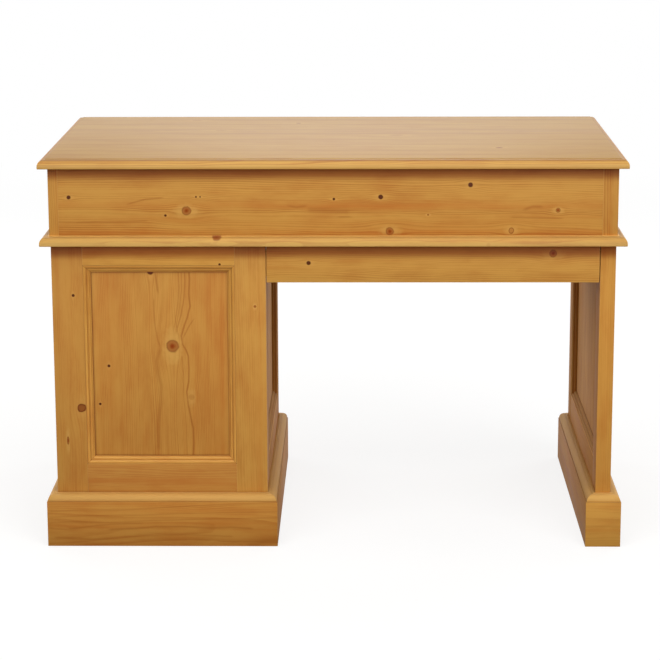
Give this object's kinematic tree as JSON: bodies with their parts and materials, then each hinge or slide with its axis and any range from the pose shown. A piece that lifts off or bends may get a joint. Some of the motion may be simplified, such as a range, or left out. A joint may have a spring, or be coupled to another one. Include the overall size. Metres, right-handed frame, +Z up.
{
  "type": "desk",
  "caption": "Panelled pine pedestal desk with a moulded top and waist, an open kneehole with an apron, frieze drawers and a cupboard behind a panelled door.",
  "frame": {"origin": "on the floor, under the middle of the top", "axes": "+Z up, +Y towards the sitter, +X along the length away from the pedestal"},
  "size_m": [1.144, 0.666, 0.78],
  "materials": {
    "waxed_pine": "satin wax",
    "top_pine": "satin wax",
    "moulding_pine": "satin wax",
    "turned_pine": "satin wax",
    "bare_pine": "planed, unfinished",
    "hinge_brass": "dulled brass"
  },
  "bodies": {
    "carcass": {"apron_rail": "waxed_pine", "door_stop": "bare_pine", "drawer_guides": "bare_pine", "end_moulding_inner": "moulding_pine", "end_moulding_outer": "moulding_pine", "end_panel": "waxed_pine", "end_plinth_back": "waxed_pine", "end_plinth_front": "waxed_pine", "end_plinth_inner": "waxed_pine", "end_plinth_outer": "waxed_pine", "end_rails": "waxed_pine", "end_stiles": "waxed_pine", "frieze_back_board": "waxed_pine", "frieze_corner_posts": "waxed_pine", "frieze_divider": "waxed_pine", "frieze_end_left": "waxed_pine", "frieze_end_right": "waxed_pine", "frieze_front_rail": "waxed_pine", "hinge_frame_leaves": "hinge_brass", "hinge_pins": "hinge_brass", "pedestal_back_moulding": "moulding_pine", "pedestal_back_panel": "waxed_pine", "pedestal_back_rail_bottom": "waxed_pine", "pedestal_back_rail_top": "waxed_pine", "pedestal_back_stile_left": "waxed_pine", "pedestal_back_stile_right": "waxed_pine", "pedestal_corner_blocks": "bare_pine", "pedestal_floor": "bare_pine", "pedestal_inner_moulding": "moulding_pine", "pedestal_inner_panel": "waxed_pine", "pedestal_inner_rails": "waxed_pine", "pedestal_inner_stiles": "waxed_pine", "pedestal_outer_moulding": "moulding_pine", "pedestal_outer_panel": "waxed_pine", "pedestal_outer_rails": "waxed_pine", "pedestal_outer_stiles": "waxed_pine", "pedestal_plinth_back": "waxed_pine", "pedestal_plinth_front": "waxed_pine", "pedestal_plinth_left": "waxed_pine", "pedestal_plinth_right": "waxed_pine", "top_battens": "bare_pine", "top_board": "top_pine", "waist_board": "top_pine"},
    "door": {"door_stiles": "waxed_pine", "door_rails": "waxed_pine", "door_panel": "waxed_pine", "door_moulding": "moulding_pine", "door_knob": "turned_pine", "hinge_door_leaves": "hinge_brass"},
    "drawer_left": {"drawer_left_back": "bare_pine", "drawer_left_bottom": "bare_pine", "drawer_left_front": "waxed_pine", "drawer_left_knob": "turned_pine", "drawer_left_sides": "bare_pine"},
    "drawer_right": {"drawer_right_back": "bare_pine", "drawer_right_bottom": "bare_pine", "drawer_right_front": "waxed_pine", "drawer_right_knobs": "turned_pine", "drawer_right_sides": "bare_pine"}
  },
  "joints": [
    {"name": "drawer_left_slide", "type": "slide", "parent": "carcass", "child": "drawer_left", "axis": [0, 1, 0], "range_m": [0, 0.4]},
    {"name": "drawer_right_slide", "type": "slide", "parent": "carcass", "child": "drawer_right", "axis": [0, 1, 0], "range_m": [0, 0.4]},
    {"name": "door_hinge", "type": "hinge", "parent": "carcass", "child": "door", "pos_m": [-0.521, 0.3135, 0.3575], "axis": [0, 0, 1], "range_deg": [0, 165]}
  ]
}
